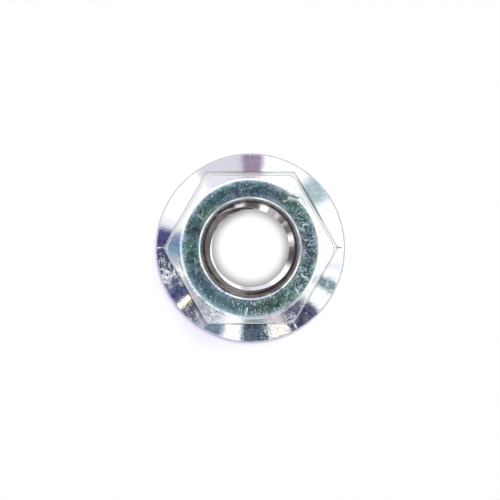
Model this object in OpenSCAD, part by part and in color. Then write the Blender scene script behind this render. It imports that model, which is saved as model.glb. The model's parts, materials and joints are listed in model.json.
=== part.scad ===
// Hexagon flange nut for an 8 mm bolt: one forging, a hexagon that stands on a round, sloping flange.
// Lengths are in millimetres. Z points up and the origin is the centre of the bearing face.
// The corners of the hexagon lie on the X axis and at every 60 degrees from it.

/* [Thread] */
// Nominal diameter of the thread
thread_d = 8; // [6:0.5:10]
// Pitch of the thread
thread_pitch = 1.25; // [0.75:0.25:1.75]
// How far each mouth of the bore opens beyond the nominal diameter, on one side
mouth_margin = 0.3; // [0.1:0.05:0.8]
// Angle of the cone of each mouth, from side to side
mouth_angle = 90; // [60:5:120]

/* [Hexagon] */
// Width across the flats, at the foot of the hexagon
across_flats = 13; // [12:0.1:14]
// Height of the nut over everything
nut_h = 8; // [6:0.1:10]
// Lean of each flat towards the axis, which lets the forging leave its die
draft_angle = 2; // [0.5:0.1:3]
// Width of the top chamfer at the middle of each flat
chamfer_w = 0.8; // [0.4:0.05:1.2]
// Angle of the top chamfer, measured from the top face
chamfer_angle = 30; // [15:1:45]
// How much is rounded off each corner, at the height of the top face
corner_wear = 0.25; // [0.05:0.01:0.4]
// Height above the foot where the rounding of the corners starts
corner_start = 1; // [0.5:0.1:2]

/* [Flange] */
// Diameter of the flange
flange_d = 16.3; // [15.6:0.1:18]
// Height of the rim, up to where the cone starts
rim_h = 1.3; // [0.8:0.1:2]
// Slope of the cone on top of the flange
flange_angle = 25; // [15:1:30]
// Radius on the upper and lower edges of the rim
rim_round = 0.2; // [0.05:0.05:0.35]

/* [Forging ridges] */
// How far the ridge at each corner runs towards the rim, as a share of the way
// The corners are at 0, 60, 120, 180, 240 and 300 degrees, and two of them have a full ridge
ridge_reach = [0.7, 0.3, 0, 0.96, 0.5, 0.96];
// Height of a ridge above the cone, where it leaves the corner
ridge_h = 0.06; // [0.03:0.01:0.12]
// Width of a ridge at its foot
ridge_w = 0.16; // [0.08:0.02:0.3]

/* [Hidden] */
$fn = 128;
zinc_plate = [0.80, 0.84, 0.88];

// Basic profile of a metric thread: the minor diameter lies 5/8 of a sharp V's height inside, twice over
minor_d = thread_d - 2 * 5 / 8 * thread_pitch * cos(30);
mouth_d = thread_d + 2 * mouth_margin;
mouth_h = (mouth_d - minor_d) / 2 / tan(mouth_angle / 2);

sides = 6;
flange_r = flange_d / 2;
foot_r = across_flats / 2;
top_face_r = foot_r - chamfer_w;

// Height of the cone on top of the flange at radius r
function cone_at(r) = rim_h + (flange_r - r) * tan(flange_angle);

// Height of the foot, where the middle of each flat meets the cone
foot_z = cone_at(foot_r);

// Half of the width across the flats, and then across the corners, at height z
function flat_at(z) = foot_r - (z - foot_z) * tan(draft_angle);
function corner_at(z) = flat_at(z) / cos(180 / sides);

// The cone that rounds the corners touches them at corner_z and is corner_wear inside them at the top
corner_z = foot_z + corner_start;
corner_lean = (corner_at(corner_z) - corner_at(nut_h) + corner_wear) / (nut_h - corner_z);
function rounding_at(z) = corner_at(corner_z) - (z - corner_z) * corner_lean;

// The arc on the upper edge of the rim touches the rim and the cone
rim_arc = [
    flange_r - rim_round,
    rim_h - rim_round * (1 - sin(flange_angle)) / cos(flange_angle)
];
cone_touch = rim_arc + rim_round * [sin(flange_angle), cos(flange_angle)];

// Section of the flange, from the axis to its rounded rim
module flange_section() {
    polygon([
        [0, 0],
        [flange_r - rim_round, 0],
        [flange_r, rim_round],
        [flange_r, rim_arc[1]],
        cone_touch,
        [top_face_r, cone_at(top_face_r)],
        [0, cone_at(top_face_r)]
    ]);
    translate([flange_r - rim_round, rim_round]) circle(rim_round);
    translate(rim_arc) circle(rim_round);
}

module flange() {
    rotate_extrude() flange_section();
}

// Section across two opposite flats: they lean inwards and go down into the flange
module flats_section() {
    polygon([
        [-flat_at(nut_h), nut_h],
        [-flat_at(rim_h / 2), rim_h / 2],
        [flat_at(rim_h / 2), rim_h / 2],
        [flat_at(nut_h), nut_h]
    ]);
}

// One pair of flats, drawn out far enough to hold the whole nut
module flat_pair() {
    rotate([90, 0, 0]) linear_extrude(2 * flange_d, center = true) flats_section();
}

// What the lathe leaves of the hexagon: the top chamfer and the rounding of the corners
module turned_outline() {
    rotate_extrude() intersection() {
        polygon([
            [0, 0],
            [flange_r - rim_round, 0],
            [flange_r - rim_round, foot_z],
            [rounding_at(foot_z), foot_z],
            [rounding_at(nut_h), nut_h],
            [0, nut_h]
        ]);
        polygon([
            [0, 0],
            [flange_r, 0],
            [flange_r, nut_h - (flange_r - top_face_r) * tan(chamfer_angle)],
            [top_face_r, nut_h],
            [0, nut_h]
        ]);
    }
}

// Three pairs of flats, turned so that two corners lie on the X axis
module hexagon() {
    intersection() {
        intersection_for(turn = [30, 90, 150]) rotate(turn) flat_pair();
        turned_outline();
    }
}

// One ridge that the forging die left on the cone: a low gable that starts inside the hexagon's corner,
// leaves it at full height and has sunk into the cone after the given length
module ridge(length) {
    slope_length = length / cos(flange_angle);
    sink_angle = atan(ridge_h / slope_length);
    rotate([0, flange_angle + sink_angle, 0]) translate([-ridge_w, 0, 0])
        rotate([90, 0, 90]) linear_extrude(ridge_w + 1.1 * slope_length)
            polygon([[-ridge_w, -ridge_h], [ridge_w, -ridge_h], [0, ridge_h]]);
}

module ridges() {
    corner_r = corner_at(cone_at(corner_at(foot_z)));
    way = cone_touch[0] - corner_r;
    for (side = [0:sides - 1])
        if (ridge_reach[side] * way > ridge_w / 2)
            rotate(side * 360 / sides) translate([corner_r, 0, cone_at(corner_r)])
                ridge(ridge_reach[side] * way);
}

// The bore at the minor diameter, with a conical mouth at each end
module bore() {
    translate([0, 0, -nut_h]) cylinder(h = 3 * nut_h, d = minor_d);
    for (end = [0, 1])
        translate([0, 0, end * nut_h]) mirror([0, 0, end])
            cylinder(h = mouth_h, d1 = mouth_d, d2 = minor_d);
}

module flange_nut() {
    color(zinc_plate) difference() {
        union() {
            flange();
            hexagon();
            ridges();
        }
        bore();
    }
}

flange_nut();
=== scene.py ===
# %% [markdown]
# # A zinc-plated flange nut, seen from straight above
#
# The object is one small forging: a hexagon for the wrench, on a round flange that does the work
# of a washer, with a thread cut right through it. It is 16 mm across, so everything here is worked
# out in millimetres and turned into metres once, when a mesh is made.
#
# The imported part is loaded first. It is the frame: it gives the true outside sizes, and the
# dressed nut made below has to stay inside its box.

import json
import math

import bmesh
import bpy
import numpy as np
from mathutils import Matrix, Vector


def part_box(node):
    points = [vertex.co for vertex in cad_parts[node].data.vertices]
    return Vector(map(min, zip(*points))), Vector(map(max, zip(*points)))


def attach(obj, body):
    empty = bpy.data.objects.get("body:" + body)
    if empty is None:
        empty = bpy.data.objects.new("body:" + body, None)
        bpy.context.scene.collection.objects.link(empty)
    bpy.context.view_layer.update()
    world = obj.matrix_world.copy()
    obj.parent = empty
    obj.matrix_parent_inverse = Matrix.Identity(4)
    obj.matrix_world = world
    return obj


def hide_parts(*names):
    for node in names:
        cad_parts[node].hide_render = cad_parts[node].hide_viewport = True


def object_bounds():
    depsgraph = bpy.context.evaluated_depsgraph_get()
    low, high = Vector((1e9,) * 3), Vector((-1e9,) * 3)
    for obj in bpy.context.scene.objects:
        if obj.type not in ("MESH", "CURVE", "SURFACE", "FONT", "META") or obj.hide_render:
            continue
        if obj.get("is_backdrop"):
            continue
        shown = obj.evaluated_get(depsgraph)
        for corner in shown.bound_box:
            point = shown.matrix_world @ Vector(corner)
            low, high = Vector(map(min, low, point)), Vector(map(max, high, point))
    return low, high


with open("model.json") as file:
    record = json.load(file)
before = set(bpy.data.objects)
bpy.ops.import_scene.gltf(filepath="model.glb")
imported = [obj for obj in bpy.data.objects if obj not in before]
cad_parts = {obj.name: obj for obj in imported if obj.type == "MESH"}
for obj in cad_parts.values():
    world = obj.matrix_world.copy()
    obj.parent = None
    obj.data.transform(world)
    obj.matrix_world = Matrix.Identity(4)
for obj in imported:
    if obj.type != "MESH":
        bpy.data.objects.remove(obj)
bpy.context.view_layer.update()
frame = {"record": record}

# %% [markdown]
# ## Sizes
#
# What the part's record and box already say is read from them: the flange, the height, and the
# bore at the thread's minor diameter. The rest repeats the driving sizes of the solid, under the
# names that a maker of nuts would use. A few differ a little from the solid, because this is one
# particular nut: its forged flats lean unevenly, the chamfer starts slightly further out, the
# edges of the mouths are rounded, and the top face was turned slightly off the thread's axis.

# %% Sizes of the nut
MM = 0.001
low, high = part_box("flange_nut")
flange_r = (high.x - low.x) / 2 / MM
nut_h = (high.z - low.z) / MM
bore = next(m for m in frame["record"]["mounts"] if m["name"] == "thread_bore")
minor_r = bore["dims"]["r_mm"]
mouth_h = (nut_h - bore["dims"]["length_mm"]) / 2
mouth_r = minor_r + mouth_h

pitch = 1.25
major_r = 4.0

foot_r = 6.5
draft = 2.0
draft_skew = 1.08
corner_round = 0.14
corner_wear = 0.25
corner_start = 1.0
top_face_r = 5.8
chamfer_slope = math.radians(30)
edge_round = 0.09

rim_h = 1.3
rim_round = 0.2
cone_slope = math.radians(25)
foot_z = rim_h + (flange_r - foot_r) * math.tan(cone_slope)
mouth_round = 0.35
mouth_slope = math.radians(45)
face_shift = (-0.03, -0.01)
print("minor, mouth and flange radius:", round(minor_r, 3), round(mouth_r, 3), round(flange_r, 3))

# %% [markdown]
# ## Directions
#
# The nut is made as a stack of rings. Each ring has one point in every direction, and the
# directions have to be the same on all rings, so that the faces between them are clean strips.
# Even steps would waste points on the smooth flange and miss the sharp corners of the hexagon.
# So the steps are crowded towards the six corners: adding a small sine that repeats six times
# makes the steps short at 0, 60, 120 degrees and long between them. The thread uses the same rule,
# and so the two meshes meet point for point.

# %% Directions, crowded at the corners
COLUMNS = 336
CROWDING = 0.82
turn = np.linspace(0, 2 * np.pi, COLUMNS, endpoint=False)
azimuth = turn - CROWDING * np.sin(6 * turn) / 6
print("step at a corner and at a flat, in degrees:",
      round(math.degrees(azimuth[1] - azimuth[0]), 2),
      round(math.degrees(azimuth[COLUMNS // 12] - azimuth[COLUMNS // 12 - 1]), 2))


def smooth_min(a, b, soft):
    """The lower of two values, with the crease between them rounded over a width of soft."""
    h = np.clip(0.5 + 0.5 * (b - a) / soft, 0, 1)
    return b + (a - b) * h - soft * h * (1 - h)


def smooth_max(a, b, soft):
    return -smooth_min(-a, -b, soft)


# %% [markdown]
# ## The hexagon as a rule
#
# For any direction and height, each of the six flats is a plane at a known distance from the
# axis. It leans inwards by the draft of the forging die, each flat by a little more or less than
# the next. The nearest flat wins, and where two flats are equally near there is a corner, which
# the smooth minimum rounds a little.

# %% Hexagon
FACING = 0.2
FAR = 99.0


def turn_between(a, b):
    """Signed angle from b to a, between minus and plus half a turn."""
    return (a - b + np.pi) % (2 * np.pi) - np.pi


def hexagon_reach(azimuth, z):
    """Distance from the axis to the hexagon's side. A flat counts only where it faces outwards."""
    reaches = []
    for normal in np.radians(np.arange(30, 360, 60)):
        lean = math.radians(draft + draft_skew * math.sin(normal))
        apothem = foot_r + (foot_z - z) * math.tan(lean)
        across = np.cos(turn_between(azimuth, normal))
        reaches.append(np.where(across > FACING, apothem / np.clip(across, FACING, None), FAR))
    reaches = np.sort(np.array(reaches), axis=0)
    return smooth_min(reaches[0], reaches[1], corner_round)


def corner_at(z):
    return (foot_r - (z - foot_z) * math.tan(math.radians(draft))) / math.cos(math.pi / 6)


corner_z = foot_z + corner_start
corner_lean = (corner_at(corner_z) - corner_at(nut_h) + corner_wear) / (nut_h - corner_z)


def wall_reach(azimuth, z):
    """The hexagon's side, with its corners worn off towards the top."""
    worn = corner_at(corner_z) - (z - corner_z) * corner_lean
    return smooth_min(hexagon_reach(azimuth, z), worn, corner_round)


def shift_at(azimuth):
    """How far the turned face and mouth lie off the axis, in each direction."""
    return face_shift[0] * np.cos(azimuth) + face_shift[1] * np.sin(azimuth)


def chamfer_reach(azimuth, z):
    return top_face_r + shift_at(azimuth) + (nut_h - z) / math.tan(chamfer_slope)


def side_reach(azimuth, z):
    """The wall, cut off by the top chamfer, with a small round on the edge between them."""
    return smooth_min(wall_reach(azimuth, z), chamfer_reach(azimuth, z), edge_round)


def cone_reach(z):
    return flange_r - (z - rim_h) / math.tan(cone_slope)


# %% [markdown]
# ## Where the surfaces meet
#
# Two heights differ from one direction to the next: where the chamfer cuts the wall, which gives
# the six curves at the top of the hexagon, and where the wall lands on the flange. Both are found
# by halving an interval until it is far below a micrometre. The rings are then placed in between,
# close together near each edge, so that the edge is crisp and the faces beside it stay flat.

# %% Heights of the two edges
HALVINGS = 40
LEAST_STEP = 0.02
below_chamfer = 6.0
above_landing = foot_z + 0.3


def crossing(gap, start, end, azimuth):
    """Height at which gap(azimuth, z) changes sign: it is above zero at start, below zero at end."""
    start = np.full_like(azimuth, start)
    end = np.full_like(azimuth, end)
    for _ in range(HALVINGS):
        middle = (start + end) / 2
        outside = gap(azimuth, middle) > 0
        start = np.where(outside, middle, start)
        end = np.where(outside, end, middle)
    return (start + end) / 2


rim_centre = (flange_r - rim_round,
              rim_h - rim_round * (1 - math.sin(cone_slope)) / math.cos(cone_slope))
cone_foot_z = rim_centre[1] + rim_round * math.cos(cone_slope)
chamfer_z = crossing(lambda a, z: chamfer_reach(a, z) - wall_reach(a, z), below_chamfer, nut_h, azimuth)
landing_z = crossing(lambda a, z: wall_reach(a, z) - cone_reach(z), above_landing, rim_h, azimuth)
landing_z = np.maximum(landing_z, cone_foot_z + LEAST_STEP)
print("chamfer edge from", chamfer_z.min().round(3), "to", chamfer_z.max().round(3),
      "and landing from", landing_z.min().round(3), "to", landing_z.max().round(3))

# %% [markdown]
# ## The shell, ring by ring
#
# The rings start inside the upper mouth, cross the top face, go down over the chamfer, the flats,
# the flange and its rim, and end inside the lower mouth. A ring is a radius and a height for every
# direction. Each stretch of rings carries the name of its finish. The shell has three: the faced
# top is where the film shows its colours, the turned chamfer and mouths are nearly white, and the
# forged surfaces keep the marks of the die. The thread is the fourth, and it is made further on.
#
# A turned face is never quite flat to its edge. This one sags by two hundredths of a millimetre
# over its last half millimetre, and then rolls over into the chamfer, slowly at first and quickly
# at the end. The roll is what makes a soft grey band between the green face and the white chamfer.

# %% Rings of the mouth
JOIN_SOFT = 0.03
shift = shift_at(azimuth)
upper_join_z = nut_h - (mouth_r - math.hypot(*face_shift) - major_r - JOIN_SOFT)
lower_join_z = mouth_r - major_r - JOIN_SOFT
rings = []


def add_ring(finish, radius, height):
    rings.append((finish, radius + 0 * azimuth, height + 0 * azimuth))


def add_mouth_edge(side, off_axis):
    """The small round between a mouth's cone and the flat face round it, as points from the cone."""
    centre_r = mouth_r + mouth_round * math.tan(mouth_slope / 2)
    points = []
    for angle in np.linspace(math.pi / 2 + mouth_slope, math.pi / 2, 9):
        radius = centre_r + mouth_round * math.cos(angle) + off_axis
        drop = mouth_round * (1 - math.sin(angle))
        points.append((radius, nut_h - drop if side == "top" else drop + 0 * azimuth))
    return points


cone_part = mouth_round * (1 - math.sin(mouth_slope))
for z in np.linspace(upper_join_z, nut_h - cone_part, 3)[:-1]:
    add_ring("turned", mouth_r - (nut_h - z) + shift, z)
for radius, z in add_mouth_edge("top", shift):
    add_ring("turned", radius, z)
print("rings of the upper mouth:", len(rings))

# %% Rings of the top face, the chamfer and the flats
SAG_LENGTH = 0.5
ROLL_LENGTH = 0.66
ROLL_START = 0.14
QUICK_FROM, QUICK_TO = 0.7, 0.8
CHAMFER_PARTS = (0.12, 0.28, 0.45, 0.62, 0.76, 0.87, 0.94, 0.98, 1.0)
FLAT_PARTS = (0.995, 0.988, 0.975, 0.95, 0.9, 0.8, 0.66, 0.5, 0.35, 0.22, 0.13, 0.08, 0.05, 0.03,
              0.016, 0.006)
full_slope = math.tan(chamfer_slope)
roll_parts = np.append(np.linspace(0, QUICK_FROM, 8), np.linspace(QUICK_FROM, QUICK_TO, 5)[1:])
roll_slopes = full_slope * np.interp(roll_parts, (0, QUICK_FROM, QUICK_TO), (ROLL_START, QUICK_FROM, 1))
sag = SAG_LENGTH * roll_slopes[0] / 2
roll_steps = roll_parts * ROLL_LENGTH
mean_slopes = (roll_slopes[1:] + roll_slopes[:-1]) / 2
roll_drops = sag + np.append(0, np.cumsum(np.diff(roll_steps) * mean_slopes))
roll_start = top_face_r + roll_drops[-1] / full_slope - roll_steps[-1]

face_start = mouth_r + mouth_round / 2
for r in np.linspace(face_start, roll_start, 22):
    sunk = sag * max(0, 1 - (roll_start - r) / SAG_LENGTH) ** 2
    add_ring("faced", r + shift, nut_h - sunk)
for step, drop in zip(roll_steps[1:], roll_drops[1:]):
    radius = smooth_min(roll_start + step + shift, wall_reach(azimuth, nut_h - drop), edge_round)
    add_ring("faced" if roll_start + step < top_face_r else "turned", radius, nut_h - drop)

roll_end_z = nut_h - roll_drops[-1]
for part in CHAMFER_PARTS:
    z = roll_end_z + (chamfer_z - roll_end_z) * part
    add_ring("turned", side_reach(azimuth, z), z)
for part in FLAT_PARTS:
    z = landing_z + (chamfer_z - landing_z) * part
    add_ring("forged", side_reach(azimuth, z), z)
print("sag of the top face:", round(sag, 3), "and radius at which it starts to roll:", round(roll_start, 3))

# %% [markdown]
# ## The forged flange
#
# A forged cone isn't as true as a turned one. Looking along it, the surface rises and falls by a
# few thousandths of a millimetre, and that is what bends the reflections into uneven streaks. Here
# the waves are a short sum of sines with a fixed seed. They fade out at the rim and at the
# hexagon, so both stay true to size.
#
# The die also left a thin ridge at the corners, where its parts met. Two ridges run all the way to
# the rim and the others stop short. Each is a narrow bell across and fades out along its way.

# %% Waves and ridges of the forging
WAVES = 14
WAVE_HEIGHT = 0.004
RIDGE_HEIGHT = 0.032
RIDGE_WIDTH = 0.026
RIDGE_FADE = 0.3
wave_maker = np.random.default_rng(11)
wave_turns = wave_maker.integers(3, 26, WAVES)
wave_phase = wave_maker.uniform(0, 2 * np.pi, WAVES)
wave_twist = wave_maker.uniform(-1.5, 1.5, WAVES)
ridge_reach = {0: 0.75, 60: 0.25, 120: 0.1, 180: 1.1, 240: 0.5, 300: 1.05}


def forged_wave(azimuth, along):
    """Height of the forging's waves, for a place between the rim at 0 and the hexagon at 1."""
    total = sum(np.cos(n * azimuth + p + t * along) / math.sqrt(n)
                for n, p, t in zip(wave_turns, wave_phase, wave_twist))
    return WAVE_HEIGHT * total * np.clip(4 * along * (1 - along), 0, 1)


def forged_ridge(azimuth, along):
    """Height of the ridges at the corners, for the same places."""
    height = 0 * azimuth
    for corner, reach in ridge_reach.items():
        aside = turn_between(azimuth, math.radians(corner)) * corner_at(foot_z)
        fade = np.clip((reach - (1 - along)) / RIDGE_FADE, 0, 1)
        height += RIDGE_HEIGHT * fade * np.exp(-(aside / RIDGE_WIDTH) ** 2)
    return height


print("waves that go round the flange this many times:", sorted(wave_turns.tolist()))

# %% Rings of the flange and the underside
LANDING_SOFT = 0.05
NEAR_RIM = 0.1
CONE_PARTS = (1.0, 0.985, 0.96, 0.93, 0.89, 0.84, 0.78, 0.71, 0.64, 0.57, 0.50, 0.43, 0.36, 0.29, 0.22,
              0.15, 0.10, 0.05, 0.0)
for part in CONE_PARTS:
    z = cone_foot_z + (landing_z - cone_foot_z) * part
    radius = smooth_max(wall_reach(azimuth, z), cone_reach(z), LANDING_SOFT)
    blend = np.clip(part / NEAR_RIM, 0, 1)
    radius = cone_reach(z) + (radius - cone_reach(z)) * blend
    z = z + forged_wave(azimuth, part) + forged_ridge(azimuth, part)
    add_ring("forged", np.minimum(radius, flange_r - LEAST_STEP), z)


def add_rim_round(start, end, centre_z):
    """The round between the rim and the face above or below it, from one angle to another."""
    for angle in np.linspace(start, end, 6)[1:]:
        outwards = rim_round * math.cos(angle)
        add_ring("forged", rim_centre[0] + outwards, centre_z + rim_round * math.sin(angle))


add_rim_round(math.pi / 2 - cone_slope, 0, rim_centre[1])
for z in np.linspace(rim_centre[1], rim_round, 4)[1:]:
    add_ring("forged", flange_r, z)
add_rim_round(0, -math.pi / 2, rim_round)
for r in np.linspace(flange_r - rim_round, face_start, 12)[1:]:
    add_ring("forged", r, 0)
for radius, z in reversed(add_mouth_edge("bottom", 0)):
    add_ring("turned", radius, z)
for z in np.linspace(cone_part, lower_join_z, 3)[1:]:
    add_ring("turned", mouth_r - z, z)
print("rings:", len(rings), "triangles:", 2 * COLUMNS * (len(rings) - 1))

# %% [markdown]
# ## Knocks
#
# Nuts are plated and packed loose, and they knock against each other. The knocks that the eye
# finds are real hollows in the mesh: each is a soft oval, given by its direction, its distance
# from the axis, its length, its width, its depth, and how far it is turned from the ring. The
# deepest is the nick that lies aslant across the edge between the top face and the chamfer. The
# last five are long shallow dents in the flange, which bend its reflections. A knock far from the
# axis moves only the rings of the flange, and the others only those near the top.

# %% Knocks in the top face and the flange
CONE_MARGIN = 0.1
TOP_MARGIN = 0.5
knocks = [
    (48.1, 5.68, 0.50, 0.12, 0.075, 32),
    (44.0, 5.25, 0.12, 0.05, 0.02, -60),
    (331.0, 5.25, 0.16, 0.05, 0.015, 80),
    (318.0, 5.50, 0.20, 0.06, 0.018, 80),
    (268.0, 5.45, 0.22, 0.05, 0.016, 95),
    (12.0, 5.35, 0.18, 0.05, 0.014, 100),
    (205.0, 5.60, 0.16, 0.06, 0.02, 0),
    (197.0, 7.80, 0.50, 0.18, 0.024, 6),
    (202.5, 7.70, 0.30, 0.14, 0.014, 25),
    (188.5, 7.85, 0.35, 0.14, 0.018, -10),
    (232.0, 7.28, 0.50, 0.08, 0.020, -22),
    (206.0, 6.74, 0.28, 0.09, 0.028, 4),
]
points = []
for finish, radius, height in rings:
    x, y, z = radius * np.cos(azimuth), radius * np.sin(azimuth), height.copy()
    for direction, distance, length, width, depth, slant in knocks:
        lowest, highest = nut_h - TOP_MARGIN, nut_h
        if distance > foot_r:
            lowest, highest = cone_foot_z - CONE_MARGIN, landing_z.max() + CONE_MARGIN
        if height.min() < lowest or height.max() > highest:
            continue
        from_x = x - distance * math.cos(math.radians(direction))
        from_y = y - distance * math.sin(math.radians(direction))
        across = math.radians(direction + slant)
        away = from_x * math.cos(across) + from_y * math.sin(across)
        along = from_y * math.cos(across) - from_x * math.sin(across)
        z -= depth * np.exp(-(away / width) ** 2 - (along / length) ** 2)
    points.append(np.stack([x, y, z], 1))
print("knocks:", len(knocks), "and the deepest in mm:", max(knock[4] for knock in knocks))

# %% Mesh of the shell
FINISHES = ["faced", "turned", "forged", "threaded"]
shell = bpy.data.meshes.new("nut_shell")
corners = np.concatenate(points) * MM
faces = []
face_finish = []
for k in range(len(rings) - 1):
    here, below = k * COLUMNS, (k + 1) * COLUMNS
    for i in range(COLUMNS):
        j = (i + 1) % COLUMNS
        faces.append((here + i, below + i, below + j, here + j))
        face_finish.append(FINISHES.index(rings[k + 1][0]))
shell.from_pydata(corners.tolist(), [], faces)
shell.polygons.foreach_set("material_index", face_finish)
print("shell faces:", len(shell.polygons))

# %% [markdown]
# ## The thread
#
# An internal metric thread is a V-shaped groove that climbs one pitch for every turn. It follows a
# rule, so Geometry Nodes make it. A flat grid is rolled into a tube, and every row of the grid
# climbs like the thread does. The rows therefore lie exactly on the crests, flanks and roots, with
# no steps. Where the climbing rows leave the bore, they are held at its ends, and the points that
# land on each other there are merged. The two mouths win over the thread wherever they are wider,
# which leaves the thin running-out turn that can be seen from above. How far the mouth's cone leads
# there is kept as an attribute, because its turned cut looks different from the thread's flanks.
#
# The tree is built from a few helpers that write one node for each step of the arithmetic.

# %% Helpers for node trees
class Tree:
    """Adds nodes to a tree, with their inputs. An input that is None keeps the node's own value."""

    def __init__(self, tree):
        self.tree = tree

    def fill(self, socket, value):
        """Links or sets one input: a node stands for its first output, and three numbers for a colour."""
        if isinstance(value, bpy.types.Node):
            value = value.outputs[0]
        if isinstance(value, bpy.types.NodeSocket):
            self.tree.links.new(value, socket)
        elif value is not None:
            socket.default_value = (*value, 1) if socket.type == "RGBA" else value

    def node(self, kind, inputs=(), **settings):
        node = self.tree.nodes.new(kind)
        for name, value in settings.items():
            setattr(node, name, value)
        for key, value in inputs.items() if isinstance(inputs, dict) else enumerate(inputs):
            self.fill(node.inputs[key], value)
        return node

    def math(self, operation, *inputs, **settings):
        return self.node("ShaderNodeMath", inputs, operation=operation, **settings).outputs[0]

    def times(self, product, *others):
        """The product of all the values that are given."""
        for other in others:
            product = self.math("MULTIPLY", product, other)
        return product

    def plus(self, first, second):
        return self.math("ADD", first, second)

    def minus(self, first, second):
        return self.math("SUBTRACT", first, second)


def add_sockets(tree, direction, sockets):
    """Adds named inputs or outputs. A word is a socket's kind, and a number is its first value."""
    for name, value in sockets.items():
        kind = value if isinstance(value, str) else type(value).__name__.title()
        socket = tree.interface.new_socket(name, in_out=direction, socket_type="NodeSocket" + kind)
        if kind != value:
            socket.default_value = value


# %% Tree that cuts the thread
FULL_TURN = 2 * math.pi
cutter = bpy.data.node_groups.new("cut_thread", "GeometryNodeTree")
add_sockets(cutter, "INPUT", {
    "Minor Radius": 0.003, "Major Radius": 0.004, "Pitch": 0.001, "Start": 0.0, "Bottom": 0.0, "Top": 0.008,
    "Mouth Radius": 0.004, "Nut Height": 0.008, "Shift X": 0.0, "Shift Y": 0.0, "Softness": 0.00003,
    "Crowding": 0.0, "Columns": 120, "Rows per Pitch": 16, "Finish": "Material"})
add_sockets(cutter, "OUTPUT", {"Geometry": "Geometry"})
t = Tree(cutter)
given = t.node("NodeGroupInput").outputs

climb_start = t.minus(given["Bottom"], t.times(given["Pitch"], t.plus(given["Start"], 1.0)))
turns_high = t.math("DIVIDE", t.minus(given["Top"], climb_start), given["Pitch"])
row_steps = t.math("CEIL", t.times(turns_high, given["Rows per Pitch"]))
grid = t.node("GeometryNodeMeshGrid", {
    "Size X": 1.0, "Size Y": 1.0,
    "Vertices X": t.plus(given["Columns"], 1.0), "Vertices Y": t.plus(row_steps, 1.0)})
place = t.node("ShaderNodeSeparateXYZ", [t.node("GeometryNodeInputPosition").outputs[0]]).outputs

even_turn = t.times(t.plus(place["X"], 0.5), FULL_TURN)
ripple = t.math("DIVIDE", t.math("SINE", t.times(even_turn, 6.0)), 6.0)
angle = t.minus(even_turn, t.times(ripple, given["Crowding"]))
row = t.math("DIVIDE", t.times(t.plus(place["Y"], 0.5), row_steps), given["Rows per Pitch"])
climbed = t.plus(row, t.math("DIVIDE", angle, FULL_TURN))
free_z = t.math("MULTIPLY_ADD", climbed, given["Pitch"], climb_start)
z = t.math("MINIMUM", t.math("MAXIMUM", free_z, given["Bottom"]), given["Top"])

# %% [markdown]
# The profile repeats once per pitch. A triangle wave runs from 0 in the middle of the groove to 1
# in the middle of the crest. The groove's bottom is an eighth of the pitch wide and the crest a
# quarter, as the metric standard has it, and between them the flanks are straight.

# %% Profile, mouths and surface of the thread
MERGED = 1.5e-6
wave = t.minus(1.0, t.math("ABSOLUTE", t.minus(t.times(t.math("FRACT", row), 2.0), 1.0)))
flank = t.node("ShaderNodeMapRange", [wave, 1 / 8, 3 / 4, given["Major Radius"], given["Minor Radius"]])
east = t.math("COSINE", angle)
north = t.math("SINE", angle)
off_axis = t.math("MULTIPLY_ADD", east, given["Shift X"], t.times(north, given["Shift Y"]))
top_cone = t.plus(t.minus(given["Mouth Radius"], t.minus(given["Nut Height"], z)), off_axis)
bottom_cone = t.minus(given["Mouth Radius"], z)
reach = t.math("SMOOTH_MAX", flank, top_cone, given["Softness"])
reach = t.math("SMOOTH_MAX", reach, bottom_cone, given["Softness"])
spot = t.node("ShaderNodeCombineXYZ", [t.times(reach, east), t.times(reach, north), z])
cone_lead = t.minus(t.math("MAXIMUM", top_cone, bottom_cone), flank)
noted = t.node("GeometryNodeStoreNamedAttribute",
               {"Geometry": grid.outputs["Mesh"], "Name": "cone_lead", "Value": cone_lead},
               data_type="FLOAT", domain="POINT")
rolled = t.node("GeometryNodeSetPosition", {"Geometry": noted, "Position": spot})
merged = t.node("GeometryNodeMergeByDistance", {"Geometry": rolled, "Distance": MERGED})
real = t.node("GeometryNodeRealizeInstances", {"Geometry": merged})
finished = t.node("GeometryNodeSetMaterial", {"Geometry": real, "Material": given["Finish"]})
t.node("NodeGroupOutput", [finished])
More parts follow.
